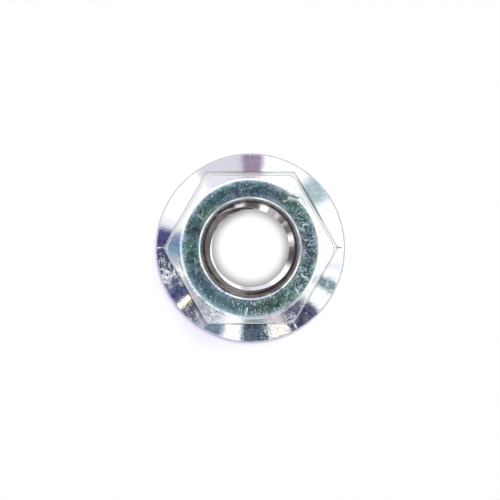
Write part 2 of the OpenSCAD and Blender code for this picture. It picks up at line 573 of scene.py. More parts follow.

# %% [markdown]
# ## Shared effects of the plating
#
# Zinc plate with a clear passivate is almost white metal with a very thin, hard film on it. The
# film shows interference colours: lilac, blue, teal and green, which drift slowly over the
# surface. The base colour carries them, because they belong to the surface itself. The other
# effects are shared by the finishes too: a patchy dullness, a fine grain that breaks up
# reflections, short bright marks that point outwards, where the nut slid against others, straight
# lines for scratches and for a streak of painted shade, and a ring of painted shade in a groove or along an
# edge.
#
# Some of it differs round the nut: one side was knocked more, and the painted shade is weaker on another.
# So a group gives each place its bearing and its distance from the axis, and another group picks a
# sector of bearings. The same sector also places the cards in the world, further down.

# %% Helpers for shader groups
class Paint(Tree):
    """A tree for shaders, with the patterns and blends that the finishes are made of."""

    def use(self, group, **values):
        """Places a group and gives its outputs. Its input Half Width is given as half_width."""
        inputs = {name.replace("_", " ").title(): value for name, value in values.items()}
        return self.node("ShaderNodeGroup", inputs, node_tree=group).outputs

    def noise(self, where, scale, detail=2.0, rough=0.5, distortion=0.0, output="Fac"):
        return self.node("ShaderNodeTexNoise", {
            "Vector": where, "Scale": scale, "Detail": detail, "Roughness": rough,
            "Distortion": distortion}).outputs[output]

    def vector(self, operation, *inputs, output="Vector"):
        return self.node("ShaderNodeVectorMath", inputs, operation=operation).outputs[output]

    def smoothstep(self, value, start, end, low=0.0, high=1.0):
        return self.node("ShaderNodeMapRange", [value, start, end, low, high],
                         interpolation_type="SMOOTHSTEP").outputs[0]

    def mix(self, factor, a, b, blend="MIX"):
        return self.node("ShaderNodeMix", {0: factor, 6: a, 7: b}, data_type="RGBA",
                         blend_type=blend).outputs[2]

    def ramp(self, factor, *stops):
        """A colour for each value, from stops that are a position and a colour."""
        node = self.node("ShaderNodeValToRGB", [factor])
        elements = node.color_ramp.elements
        while len(elements) > 1:
            elements.remove(elements[-1])
        elements[0].position = stops[0][0]
        elements[0].color = (*stops[0][1], 1)
        for position, colour in stops[1:]:
            elements.new(position).color = (*colour, 1)
        return node.outputs["Color"]


def new_group(name, inputs, outputs):
    """A new shader group: the tree to fill in, and the values that it is given."""
    group = bpy.data.node_groups.new(name, "ShaderNodeTree")
    add_sockets(group, "INPUT", inputs)
    add_sockets(group, "OUTPUT", outputs)
    tree = Paint(group)
    return tree, tree.node("NodeGroupInput").outputs


# %% Place on the nut, and a sector of bearings
DEGREES = 180 / math.pi
tree, given = new_group("polar_place", {"Where": "Vector"}, {"Bearing": "Float", "Radius": "Float"})
east, north, _ = tree.node("ShaderNodeSeparateXYZ", [given["Where"]]).outputs
radius_squared = tree.plus(tree.times(east, east), tree.times(north, north))
bearing = tree.times(tree.math("ARCTAN2", north, east), DEGREES)
tree.node("NodeGroupOutput", [bearing, tree.math("SQRT", radius_squared)])
polar_place = tree.tree

tree, given = new_group("sector", {"Bearing": "Float", "At": 0.0, "Half Width": 10.0, "Softness": 2.0},
                        {"Mask": "Float"})
aside = tree.math("ABSOLUTE", tree.math("WRAP", tree.minus(given["Bearing"], given["At"]), 180.0, -180.0))
side = tree.smoothstep(aside, tree.plus(given["Half Width"], given["Softness"]),
                       tree.minus(given["Half Width"], given["Softness"]))
tree.node("NodeGroupOutput", [side])
sector = tree.tree


def sectors(tree, bearing, base, *rows):
    """A value that is base everywhere, and more by the last number of each row inside its sector."""
    total = base
    for at, half_width, softness, more in rows:
        inside = tree.use(sector, bearing=bearing, at=at, half_width=half_width, softness=softness)["Mask"]
        total = tree.math("MULTIPLY_ADD", inside, more, total)
    return total


# %% Tint of the passivate, and its dull patches
SILVER = (0.94, 0.94, 0.955)
LILAC = (0.66, 0.64, 0.88)
BLUE = (0.44, 0.62, 0.89)
TEAL = (0.52, 0.86, 0.90)
GREEN = (0.48, 0.80, 0.56)
FINE_PART = 0.2
CONTRAST = 0.6

tree, given = new_group("passivate_tint", {"Where": "Vector", "Scale": 500.0, "Fine Scale": 6000.0,
                                           "Thicker": 0.0, "Strength": 0.5}, {"Color": "Color"})
drift = tree.noise(given["Where"], given["Scale"], 2.0, 0.55, 0.8)
fine = tree.noise(given["Where"], given["Fine Scale"], 2.0, 0.6)
thickness = tree.plus(tree.times(drift, 1 - FINE_PART), tree.times(fine, FINE_PART))
thickness = tree.math("MULTIPLY_ADD", thickness, CONTRAST, (1 - CONTRAST) / 2)
thickness = tree.plus(thickness, given["Thicker"])
film = tree.ramp(thickness, (0.36, LILAC), (0.42, BLUE), (0.485, TEAL), (0.545, GREEN), (0.61, TEAL),
                 (0.68, SILVER))
tree.node("NodeGroupOutput", [tree.mix(given["Strength"], SILVER, film)])
passivate_tint = tree.tree

tree, given = new_group("dull_patches", {"Where": "Vector", "Scale": 4500.0, "Patch Scale": 1100.0,
                                         "Least": 0.5, "Most": 1.2}, {"Value": "Float"})
fine = tree.noise(given["Where"], given["Scale"], 3.0, 0.6)
patch = tree.noise(given["Where"], given["Patch Scale"], 2.0, 0.6)
both = tree.plus(tree.times(fine, 0.5), tree.times(patch, 0.5))
tree.node("NodeGroupOutput", [tree.smoothstep(both, 0.38, 0.62, given["Least"], given["Most"])])
dull_patches = tree.tree

# %% Grain that breaks up reflections
tree, given = new_group("plated_grain", {"Where": "Vector", "Coarse Scale": 4000.0, "Fine Scale": 16000.0,
                                         "Fine Share": 0.4}, {"Height": "Float"})
coarse = tree.noise(given["Where"], given["Coarse Scale"], 2.0, 0.6)
fine = tree.noise(given["Where"], given["Fine Scale"], 2.0, 0.6)
blended = tree.node("ShaderNodeMix", {0: given["Fine Share"], 2: coarse, 3: fine}, data_type="FLOAT")
tree.node("NodeGroupOutput", [blended])
plated_grain = tree.tree

# %% Marks that point outwards
MARK_CIRCLE = 5.1 * MM
RAGGED_SCALE = 1.7
RAGGED = (0.8, 0.8, 0.0)
FULL_PART = 0.2
FAINTEST = 0.4
tree, given = new_group("outward_marks", {"Where": "Vector", "Across Scale": 5500.0, "Along Scale": 2200.0,
                                          "Size": 0.3, "Share": 0.2}, {"Mask": "Float"})
place = tree.use(polar_place, where=given["Where"])
arc = tree.times(place["Bearing"], MARK_CIRCLE / DEGREES)
polar = tree.node("ShaderNodeCombineXYZ", [tree.times(arc, given["Across Scale"]),
                                           tree.times(place["Radius"], given["Along Scale"]), 0.0])
ragged = tree.noise(polar, RAGGED_SCALE, 2.0, 0.6, output="Color")
ragged = tree.vector("MULTIPLY_ADD", ragged, RAGGED, polar)
cell = tree.node("ShaderNodeTexVoronoi", {"Vector": ragged, "Scale": 1.0}).outputs
dash = tree.smoothstep(cell["Distance"], given["Size"], tree.times(given["Size"], FULL_PART))
chance = tree.node("ShaderNodeSeparateColor", [cell["Color"]]).outputs
kept = tree.math("LESS_THAN", chance[0], given["Share"])
strength = tree.math("MULTIPLY_ADD", chance[1], 1 - FAINTEST, FAINTEST)
tree.node("NodeGroupOutput", [tree.times(dash, kept, strength)])
outward_marks = tree.tree

# %% A straight line, and a ring of painted shade
tree, given = new_group("straight_line", {"Where": "Vector", "Start": "Vector", "Way": "Vector", "Width": 0.0001},
                        {"Mask": "Float"})
flat_place = tree.vector("MULTIPLY", given["Where"], (1, 1, 0))
from_start = tree.vector("SUBTRACT", flat_place, given["Start"])
along = tree.vector("DOT_PRODUCT", from_start, given["Way"], output="Value")
whole = tree.vector("DOT_PRODUCT", given["Way"], given["Way"], output="Value")
share = tree.math("DIVIDE", along, whole, use_clamp=True)
nearest = tree.node("ShaderNodeVectorMath", {0: given["Way"], "Scale": share}, operation="SCALE")
gap = tree.vector("DISTANCE", from_start, nearest, output="Value")
tree.node("NodeGroupOutput", [tree.smoothstep(gap, given["Width"], 0.0)])
straight_line = tree.tree

FULL_BAND = 0.3
# A blotchy ring of painted shade, for the root of a groove and for an edge
tree, given = new_group("painted_shade_ring", {"Where": "Vector", "Circle": 0.004, "Half Width": 0.0001,
                                         "Least": 0.55}, {"Mask": "Float"})
place = tree.use(polar_place, where=given["Where"])
aside = tree.math("ABSOLUTE", tree.minus(place["Radius"], given["Circle"]))
band = tree.smoothstep(aside, given["Half Width"], tree.times(given["Half Width"], FULL_BAND))
blotchy = tree.smoothstep(tree.noise(given["Where"], 1500.0), 0.35, 0.6, given["Least"], 1.0)
tree.node("NodeGroupOutput", [tree.times(band, blotchy)])
painted_shade_ring = tree.tree
print("shared groups:", sorted(group.name for group in bpy.data.node_groups))

# %% [markdown]
# ## The four finishes
#
# Each finish is a metal with the shared groups in it, set to its own values. Its film colour is
# built up in layers, and so is its relief. A row such as (92, 24, 12, 0.3) means: round bearing
# 92, out to 24 degrees on both sides, with an edge 12 degrees soft, by 0.3.
#
# The turned top face has the strongest film colours. It is paler in some sectors and bluer in
# others, and its marks are densest on the right and at the bottom. It mirrors the dark camera, so
# a mark shows as a bright spot: there the film is worn off and the metal is rough.

# %% A metal that is built up in layers
class Metal(Paint):
    def __init__(self, name):
        self.material = bpy.data.materials.new(name)
        self.material.use_nodes = True
        self.material.node_tree.nodes.clear()
        super().__init__(self.material.node_tree)
        self.where = self.node("ShaderNodeTexCoord").outputs["Object"]
        place = self.use(polar_place, where=self.where)
        self.bearing = place["Bearing"]
        self.radius = place["Radius"]
        self.film = None
        self.normal = None

    def pattern(self, group, **values):
        """One of the shared effects, at each place of this finish."""
        return self.use(group, where=self.where, **values)[0]

    def around(self, *rows, base=0.0):
        return sectors(self, self.bearing, base, *rows)

    def cloud(self, scale, start, end, low=0.0, high=1.0, detail=2.0, rough=0.5, distortion=0.0):
        """Noise, made into patches: low where it is under start, and high where it is over end."""
        noise = self.noise(self.where, scale, detail, rough, distortion)
        return self.smoothstep(noise, start, end, low, high)

    def beyond(self, start, end):
        """A mask that grows from 0 to 1 between two distances from the axis, in millimetres."""
        return self.smoothstep(self.radius, start * MM, end * MM)

    def attribute(self, name):
        return self.node("ShaderNodeAttribute", attribute_name=name).outputs["Fac"]

    def lay(self, mask, colour):
        """Lays a colour over the film, where the mask is 1."""
        self.film = self.mix(mask, self.film, colour)

    def lift(self, height, depth):
        """Raises the surface by depth, in millimetres, where height is 1."""
        self.normal = self.node("ShaderNodeBump", {
            "Strength": 1.0, "Distance": depth * MM, "Height": height,
            "Normal": self.normal}).outputs["Normal"]

    def finish(self, rough):
        shader = self.node("ShaderNodeBsdfPrincipled", {
            "Metallic": 1.0, "Base Color": self.film, "Roughness": rough, "Normal": self.normal})
        self.node("ShaderNodeOutputMaterial", [shader])
        print(self.material.name, "has", len(self.tree.nodes), "nodes")


# %% Film colours of the turned top face
SKY = (0.44, 0.84, 1.0)
faced = Metal("faced_zinc")
thicker = faced.around((92, 24, 12, -0.075), (216, 20, 12, -0.06), (2, 18, 12, -0.035), (50, 10, 8, 0.05),
                       (300, 20, 10, 0.045), (160, 22, 12, 0.025))
tint = faced.pattern(passivate_tint, scale=800.0, fine_scale=3600.0, thicker=thicker, strength=0.78)
dull = faced.pattern(dull_patches, scale=4000.0, patch_scale=900.0, least=0.34, most=1.12)
faced.film = faced.mix(1.0, tint, dull, "MULTIPLY")
paler = faced.around((262, 24, 10, 0.34), (0, 12, 8, 0.24), (60, 9, 6, 0.24), (142, 8, 6, 0.20),
                     (193, 8, 6, 0.10), (224, 14, 8, 0.08), (335, 8, 6, 0.14))
faced.lay(paler, SILVER)
faced.lay(faced.around((238, 34, 14, 0.32), (103, 28, 12, 0.18), (180, 16, 8, 0.08)), SKY)

# %% Marks and scratches of the turned top face
EDGE_ROUGHER = 0.14
MARK_ROUGHER = 0.46
DASHES_PER_DOT = 0.8
knocked = faced.around((354, 58, 18, 0.40), (272, 20, 8, 0.36), (222, 18, 10, 0.06), (327, 13, 5, 0.25),
                       base=0.06)
dashes = faced.pattern(outward_marks, across_scale=6200.0, along_scale=2600.0, size=0.36,
                       share=faced.times(knocked, DASHES_PER_DOT))
dots = faced.pattern(outward_marks, across_scale=8500.0, along_scale=7500.0, size=0.42, share=knocked)
marked = faced.math("MAXIMUM", dashes, dots)
scratches = [
    # start and end as bearing and distance from the axis, then width and strength
    (52.8, 5.40, 44.4, 5.80, 0.12, 1.0),
    (148.5, 4.75, 147.5, 5.35, 0.08, 0.35),
    (146.0, 4.95, 141.0, 5.15, 0.07, 0.3),
    (332.0, 5.0, 331.5, 5.5, 0.10, 0.8),
    (318.0, 5.2, 317.0, 5.6, 0.10, 0.7),
    (267.0, 5.1, 266.0, 5.6, 0.09, 0.8),
    (24.0, 4.9, 23.0, 5.2, 0.09, 0.7),
    (190.0, 4.8, 206.0, 5.1, 0.06, 0.2),
    (100.0, 5.0, 84.0, 5.3, 0.06, 0.2),
]


def spot_at(bearing, distance):
    angle = math.radians(bearing)
    return Vector((math.cos(angle), math.sin(angle), 0)) * distance * MM


for start_at, start_r, end_at, end_r, width, strength in scratches:
    start = spot_at(start_at, start_r)
    line = faced.pattern(straight_line, start=start, way=spot_at(end_at, end_r) - start, width=width * MM)
    marked = faced.math("MAXIMUM", marked, faced.times(line, strength))
faced.lift(faced.pattern(plated_grain, coarse_scale=5200.0, fine_scale=14000.0, fine_share=0.5), 0.011)
faced.lift(marked, 0.03)
faced.lay(marked, SILVER)
near_edge = faced.math("MAXIMUM", faced.beyond(5.15, 5.65), faced.beyond(4.95, 4.5))
rough = faced.math("MULTIPLY_ADD", near_edge, EDGE_ROUGHER, faced.cloud(2500.0, 0.3, 0.7, 0.08, 0.22))
faced.finish(faced.math("MULTIPLY_ADD", marked, MARK_ROUGHER, rough))

# %% [markdown]
# The chamfer and the mouths are turned too, and nearly white. At the lower left and the lower right
# the chamfer is pitted, with bluish and rosy patches, and at the left it shows the film colours.
# The mouth's cone is darkened with painted shade where it meets the thread.

# %% The turned chamfer and mouths
MOUTH_EDGE_SHADE = (0.20, 0.17, 0.14)
BLUISH = (0.38, 0.40, 0.56)
ROSY = (0.93, 0.74, 0.76)
turned = Metal("turned_zinc")
strength = turned.around((178, 9, 6, 0.8), (272, 12, 8, 0.25), (222, 18, 10, 0.15), base=0.05)
turned.film = turned.pattern(passivate_tint, scale=420.0, fine_scale=8000.0, thicker=-0.03, strength=strength)
# Painted shade where the mouth's cone meets the thread's root
turned.lay(turned.pattern(painted_shade_ring, circle=3.99 * MM, half_width=0.12 * MM), MOUTH_EDGE_SHADE)
bluish = turned.around((228, 16, 6, 0.45), (241, 5, 3, 0.4), (284, 5, 3, 0.6), (302, 8, 4, 0.85))
bluish = turned.times(bluish, turned.cloud(3000.0, 0.42, 0.58, detail=4.0, rough=0.65, distortion=0.5))
turned.lay(bluish, BLUISH)
rosy = turned.times(turned.around((289, 9, 5, 0.7), (204, 8, 5, 0.3)),
                    turned.cloud(3400.0, 0.40, 0.62, detail=3.0, rough=0.7), turned.beyond(5.5, 5.8))
turned.lay(rosy, ROSY)
pits = turned.pattern(outward_marks, across_scale=5600.0, along_scale=6000.0, size=0.5,
                      share=turned.around((226, 24, 8, 0.60), (293, 13, 5, 0.8), base=0.05))
turned.lift(turned.pattern(plated_grain, coarse_scale=4200.0, fine_scale=13000.0, fine_share=0.5), 0.008)
turned.lift(pits, 0.022)
turned.finish(turned.cloud(2500.0, 0.3, 0.7, 0.05, 0.14))

# %% [markdown]
# The forged surfaces are bright. On the flange the passivate dried in blotches, with a golden
# speckle in two places, and the die left specks, strokes and rugged patches. The recess at the
# hexagon's foot is darkened with painted shade, brown in two places, and a streak of painted shade,
# the shaded side of a ridge, runs outwards from the corner on the right. A thin line of painted
# shade runs along the rim. The flats are duller, with a satin finish. Two attributes of the mesh
# say where the recess and the flats are, and a mask made from the second one and the height keeps
# the flange's marks off the flats, the rim and the underside.

# %% Film of the forged surfaces
GOLDEN = (0.96, 0.80, 0.66)
forged = Metal("forged_zinc")
forged.film = forged.pattern(passivate_tint, scale=420.0, fine_scale=8000.0, strength=0.07)
height = forged.node("ShaderNodeSeparateXYZ", [forged.where]).outputs["Z"]
flats_mask = forged.attribute("on_flats")
flange_mask = forged.times(forged.smoothstep(height, 1.15 * MM, 1.25 * MM), forged.minus(1.0, flats_mask))
golden = forged.times(forged.around((291, 7, 3, 0.85), (238, 4, 3, 0.3)), flange_mask,
                      forged.cloud(3800.0, 0.44, 0.58, detail=3.0, rough=0.7))
forged.lay(golden, GOLDEN)
blotched = forged.around((272, 9, 3, 1.0), (210, 8, 3, 1.0), (187, 10, 4, 0.8), (231, 9, 4, 0.8),
                         (307, 11, 3, 1.0), (246, 7, 3, 0.6), (90, 7, 4, 0.3), (174, 8, 4, 0.5),
                         (335, 5, 3, 0.7), (41, 9, 5, 0.35))
blotch = forged.ramp(forged.noise(forged.where, 2600.0, 3.0, 0.65, 0.6),
                     (0.36, (0.34, 0.34, 0.50)), (0.5, (0.72, 0.84, 0.90)), (0.62, (1.0, 1.0, 1.0)))
satin = forged.ramp(forged.noise(forged.where, 750.0, 4.0, 0.6),
                    (0.35, (0.67, 0.72, 0.74)), (0.5, (0.78, 0.82, 0.83)), (0.65, (0.87, 0.90, 0.90)))
forged.lay(forged.times(blotched, flange_mask), forged.mix(1.0, forged.film, blotch, "MULTIPLY"))
forged.lay(flats_mask, forged.mix(1.0, forged.film, satin, "MULTIPLY"))

# %% Painted shade on the forged surfaces
RECESS_SHADE = (0.09, 0.085, 0.06)
RECESS_BROWN = (0.34, 0.20, 0.12)
SPIKE_SHADE = (0.16, 0.17, 0.12)
RIM_SHADE = (0.42, 0.38, 0.58)
SPIKE_START = Vector((7.42, 0.09, 0)) * MM
SPIKE_WAY = Vector((0.44, -0.07, 0)) * MM
SPIKE_WIDTH = 0.10 * MM
SPIKE_STRENGTH = 0.85
# Painted shade in the recess at the hexagon's foot, brown in two sectors
recess_shade_share = forged.around((38, 16, 6, 0.55), (92, 16, 6, 0.30), (216, 18, 5, 0.57), (270, 14, 5, 0.57), base=0.42)
browner_sectors = forged.around((102, 26, 8, 1.0), (240, 6, 4, 0.5))
forged.lay(forged.times(forged.attribute("recess"), recess_shade_share), forged.mix(browner_sectors, RECESS_SHADE, RECESS_BROWN))
# A streak of painted shade: the shaded side of the corner ridge on the right
spike = forged.pattern(straight_line, start=SPIKE_START, way=SPIKE_WAY, width=SPIKE_WIDTH)
forged.lay(forged.times(spike, flange_mask, SPIKE_STRENGTH), SPIKE_SHADE)
# A thin line of painted shade along the rim
rim_line = forged.pattern(painted_shade_ring, circle=flange_r * MM, half_width=0.13 * MM)
rim_shade_share = forged.around((205, 42, 15, 0.35), (40, 60, 20, 0.2), base=0.5)
forged.lay(forged.times(rim_line, rim_shade_share), RIM_SHADE)

# %% Relief of the forged surfaces
FLATS_ROUGHER = 0.14
pitted = forged.around((193, 9, 3, 0.22), (232, 10, 3, 0.08), (288, 8, 3, 0.35), (334, 6, 2, 0.15),
                       (41, 8, 3, 0.06), (89, 6, 2, 0.08), base=0.006)
stroked = forged.around((193, 9, 3, 0.45), (221, 3, 1, 0.30), (232, 9, 3, 0.34), (288, 9, 3, 0.50))
rugged = forged.times(forged.around((194, 9, 3, 1.0), (289, 8, 3, 0.5)), flange_mask,
                      forged.noise(forged.where, 1900.0))
pits = forged.pattern(outward_marks, across_scale=7800.0, along_scale=8200.0, size=0.46,
                      share=forged.times(pitted, flange_mask))
strokes = forged.pattern(outward_marks, across_scale=3000.0, along_scale=12500.0, size=0.45,
                         share=forged.times(stroked, flange_mask))
forged.lift(forged.pattern(plated_grain, coarse_scale=2600.0, fine_scale=9000.0, fine_share=0.55), 0.004)
forged.lift(rugged, 0.04)
forged.lift(strokes, 0.015)
forged.lift(pits, 0.014)
rough = forged.cloud(1800.0, 0.3, 0.7, 0.025, 0.065)
forged.finish(forged.math("MULTIPLY_ADD", flats_mask, FLATS_ROUGHER, rough))

# %% [markdown]
# The thread is tapped after forging and takes less zinc. Its flanks are pale. On the upper right,
# glints are painted into their colour, with dark places painted between them. The turned cone
# that cuts it off at the mouth is brown, darker in a few sectors, with two painted highlights on
# its outer half and painted shade inside one of them. Its root is painted nearly black, as shade.
# That painted shade is a ring, and it lies a little further out at the upper left than at the lower
# right.

# %% Film of the thread's flanks
FLANK_PAINTED_DARK = (0.22, 0.195, 0.185)
PAINTED_GLINT = (0.99, 0.94, 0.96)
threaded = Metal("threaded_zinc")
flank_film = threaded.ramp(threaded.noise(threaded.where, 900.0, 3.0, 0.6),
                           (0.35, (0.87, 0.84, 0.88)), (0.5, (0.91, 0.90, 0.96)), (0.65, (0.93, 0.92, 1.0)))
# Glints painted into the flanks' colour on the upper right, with painted dark between them
painted_glints = threaded.around((11, 8, 3, 0.90), (20.5, 1.5, 1.5, 0.45), (36, 2.5, 2, 0.50), (44, 2, 2, 0.20),
                         (50.5, 4, 2, 0.65), (59, 4, 3, 0.40), (70.5, 6, 2.5, 0.92), base=0.10)
patchy = threaded.cloud(3200.0, 0.35, 0.6, 0.7, 1.1, detail=3.0)
patchy_painted_glints = threaded.mix(threaded.times(painted_glints, patchy), FLANK_PAINTED_DARK, PAINTED_GLINT)
flank_film = threaded.mix(threaded.around((46, 70, 5, 1.0)), flank_film, patchy_painted_glints)

# %% Film of the cone at the mouth, and painted shade at the root
DARK_CONE = (0.38, 0.34, 0.33)
PAINTED_HIGHLIGHT = (1.0, 0.94, 0.97)
INNER_PAINTED_SHADE = (0.20, 0.17, 0.155)
ROOT_PAINTED_SHADE = (0.13, 0.11, 0.10)
ROOT_SHADE_CIRCLE = 3.91 * MM
ROOT_SHADE_SHIFT = 0.06 * MM
ROOT_SHADE_TOWARDS = 2.36
FLANK_ROUGH = 0.07
CONE_ROUGHER = 0.26
cone_film = threaded.ramp(threaded.noise(threaded.where, 1400.0, 3.0, 0.6),
                          (0.35, (0.70, 0.60, 0.565)), (0.5, (0.78, 0.70, 0.67)), (0.65, (0.85, 0.80, 0.785)))
dark_side = threaded.around((316, 32, 12, 1.0), (121, 9, 5, 0.42), (177, 13, 8, 0.38), (92, 5, 3, 0.45),
                            (353, 6, 4, 0.5))
cone_film = threaded.mix(dark_side, cone_film, DARK_CONE)
on_cone = threaded.smoothstep(threaded.attribute("cone_lead"), -0.006 * MM, 0.006 * MM)
threaded.film = threaded.mix(on_cone, flank_film, cone_film)
outer_half = threaded.beyond(3.52, 3.64)
# Two painted highlights on the cone's outer half, and painted shade inside one of them
bright = threaded.around((104, 6, 3, 1.0), (254, 9, 6, 0.7))
shaded = threaded.around((104, 16, 6, 0.85))
threaded.lay(threaded.times(bright, outer_half), PAINTED_HIGHLIGHT)
threaded.lay(threaded.times(shaded, threaded.minus(1.0, outer_half)), INNER_PAINTED_SHADE)
# Painted shade in the thread's root: a ring, a little further out at the upper left, weaker on one side
bearing = threaded.math("MULTIPLY_ADD", threaded.bearing, 1 / DEGREES, -ROOT_SHADE_TOWARDS)
circle = threaded.math("MULTIPLY_ADD", threaded.math("COSINE", bearing), ROOT_SHADE_SHIFT, ROOT_SHADE_CIRCLE)
root_shade = threaded.pattern(painted_shade_ring, circle=circle, half_width=0.17 * MM, least=0.75)
threaded.lay(threaded.times(root_shade, threaded.around((248, 16, 8, -0.85), base=1.0)), ROOT_PAINTED_SHADE)
threaded.lift(threaded.pattern(plated_grain, coarse_scale=4000.0, fine_scale=12000.0, fine_share=0.5), 0.005)
threaded.finish(threaded.math("MULTIPLY_ADD", on_cone, CONE_ROUGHER, FLANK_ROUGH))

# %% [markdown]
# The thread's tree is run now that its finish exists. Where the thread starts is set by one crest
# that shows from above. A modifier's input is set by the socket's identifier, and the result is
# turned into a plain mesh.

# %% Run the thread's tree
crest_z = 7.176
crest_azimuth = 160.0
middle_of_crest = 0.5
rows_per_pitch = 16
turns_to_crest = (crest_z - lower_join_z) / pitch - crest_azimuth / 360
thread_start = (middle_of_crest - 1 - turns_to_crest) % 1
print("thread starts", round(thread_start, 3), "of a turn below the lower mouth")
holder = bpy.data.objects.new("thread_grid", bpy.data.meshes.new("thread_grid"))
bpy.context.scene.collection.objects.link(holder)
cut = holder.modifiers.new("cut_thread", "NODES")
cut.node_group = cutter
thread_values = {
    "Minor Radius": minor_r * MM, "Major Radius": major_r * MM, "Pitch": pitch * MM,
    "Start": thread_start, "Bottom": lower_join_z * MM, "Top": upper_join_z * MM,
    "Mouth Radius": mouth_r * MM, "Nut Height": nut_h * MM,
    "Shift X": face_shift[0] * MM, "Shift Y": face_shift[1] * MM, "Softness": JOIN_SOFT * MM,
    "Crowding": CROWDING, "Columns": COLUMNS, "Rows per Pitch": rows_per_pitch,
    "Finish": threaded.material}
for item in cutter.interface.items_tree:
    if item.in_out == "INPUT":
        cut[item.identifier] = thread_values[item.name]
evaluated = holder.evaluated_get(bpy.context.evaluated_depsgraph_get())
thread_mesh = bpy.data.meshes.new_from_object(evaluated)
bpy.data.objects.remove(holder)
print("thread faces:", len(thread_mesh.polygons))

# %% [markdown]
# ## One closed nut
#
# The shell and the thread are put into one mesh. Only the open edges of the two are merged, so
# nothing else can move. After that every edge has to belong to two faces, and the volume has to be
# positive, which says that the faces look outwards. The thread's edges stay sharp in the shading,
# as a tap leaves them, and everything else is shaded smooth.

# %% Join shell and thread
CREASE = math.radians(25)
JOINED = 3e-6
THREADED = FINISHES.index("threaded")
joined = bmesh.new()
joined.from_mesh(shell)
shell_faces = len(joined.faces)
joined.from_mesh(thread_mesh)
joined.faces.ensure_lookup_table()
for face in joined.faces[shell_faces:]:
    face.material_index = THREADED
for face in joined.faces:
    face.smooth = True
for edge in joined.edges:
    cut_by_tap = all(face.material_index == THREADED for face in edge.link_faces)
    edge.smooth = not (cut_by_tap and len(edge.link_faces) == 2 and edge.calc_face_angle() > CREASE)
open_points = [v for v in joined.verts if v.is_boundary]
bmesh.ops.remove_doubles(joined, verts=open_points, dist=JOINED)
bmesh.ops.recalc_face_normals(joined, faces=joined.faces)
if joined.calc_volume(signed=True) < 0:
    bmesh.ops.reverse_faces(joined, faces=joined.faces)
loose = [e for e in joined.edges if len(e.link_faces) != 2]
print("edges without two faces:", len(loose), "volume in mm3:", round(joined.calc_volume() / MM ** 3, 1))
nut_mesh = bpy.data.meshes.new("plated_flange_nut")
joined.to_mesh(nut_mesh)
joined.free()
for finish in (faced, turned, forged, threaded):
    nut_mesh.materials.append(finish.material)

# %% [markdown]
# The forged finish has to know where the recess at the hexagon's foot is, and where the flats are.
# Both follow from the rules that made the rings, so they are worked out for every point and kept
# in the mesh as attributes. The painted shade in the recess lies wider on the flange than on the
# flats, and wider still in three directions.

# %% Where the recess and the flats are
RECESS_ON_FLANGE = 0.11
RECESS_ON_FLAT = 0.07
WIDER_SPREAD = math.radians(14)
FLAT_FADE = 0.05
wider_recess = ((38, 0.02), (222, 0.03), (270, 0.04))
spots = np.array([v.co for v in nut_mesh.vertices]) / MM
spot_turn = np.arctan2(spots[:, 1], spots[:, 0]) % FULL_TURN
foot_height = np.interp(spot_turn, azimuth, landing_z, period=FULL_TURN)
foot_reach = np.interp(spot_turn, azimuth, wall_reach(azimuth, landing_z), period=FULL_TURN)
beyond_foot = np.hypot(spots[:, 0], spots[:, 1]) - foot_reach
above_foot = spots[:, 2] - foot_height
wider = sum(more * np.exp(-(turn_between(spot_turn, math.radians(at)) / WIDER_SPREAD) ** 2)
            for at, more in wider_recess)
recess_width = np.where(beyond_foot > 0, RECESS_ON_FLANGE + wider, RECESS_ON_FLAT)
in_recess = np.exp(-(np.hypot(beyond_foot, above_foot) / recess_width) ** 2)
on_flats = np.where(beyond_foot < LEAST_STEP, np.clip(above_foot / FLAT_FADE, 0, 1), 0)
for name, values in (("recess", in_recess), ("on_flats", on_flats)):
    nut_mesh.attributes.new(name, "FLOAT", "POINT").data.foreach_set("value", values)
nut = bpy.data.objects.new("plated_flange_nut", nut_mesh)
bpy.context.scene.collection.objects.link(nut)
print("triangles:", sum(len(p.vertices) - 2 for p in nut_mesh.polygons))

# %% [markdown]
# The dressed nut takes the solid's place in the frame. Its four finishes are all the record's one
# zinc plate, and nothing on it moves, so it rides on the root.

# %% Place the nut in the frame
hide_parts("flange_nut")
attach(nut, "root")

# %% [markdown]
# ## Table
#
# The nut stands on a plain white table. Outside the nut, the table's white is the light that falls
# on it, with a trace of its own glow, so that it keeps a faint shadow round the flange. Inside the
# bore the table has a soft grey edge, where the nut keeps the light away. The two lamps below are
# too narrow to make it, so that part glows by itself: white in the middle and greyer towards the
# bore, more on some sides than on others. What isn't seen directly or in a mirror is plain grey.

# %% White table
TABLE_SIZE = 1.2
WHITE = (1, 1, 1)
table_glow = 0.01
table_white = 0.94
table_grey = 0.8
bore_shade = 0.43

table_mesh = bpy.data.meshes.new("white_table")
half = TABLE_SIZE / 2
table_corners = [(-half, -half, 0), (half, -half, 0), (half, half, 0), (-half, half, 0)]
table_mesh.from_pydata(table_corners, [], [(0, 1, 2, 3)])
table = bpy.data.objects.new("white_table", table_mesh)
bpy.context.scene.collection.objects.link(table)
table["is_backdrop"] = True

table_paint = bpy.data.materials.new("white_table")
table_paint.use_nodes = True
table_paint.node_tree.nodes.clear()
tree = Paint(table_paint.node_tree)
path = tree.node("ShaderNodeLightPath").outputs
seen = tree.math("MAXIMUM", path["Is Camera Ray"],
                 tree.math("MAXIMUM", path["Is Glossy Ray"], path["Is Transmission Ray"]))
plain = tree.node("ShaderNodeBsdfDiffuse", {"Color": [table_grey] * 3})
place = tree.use(polar_place, where=tree.node("ShaderNodeTexCoord").outputs["Object"])
lit = tree.node("ShaderNodeBsdfDiffuse", {"Color": [table_white] * 3})
glow = tree.node("ShaderNodeEmission", {"Color": WHITE, "Strength": table_glow})
open_table = tree.node("ShaderNodeAddShader", [lit, glow])
edge_shade = sectors(tree, place["Bearing"], bore_shade,
                     (120, 20, 14, -0.14), (345, 12, 10, -0.08), (50, 20, 14, -0.04))
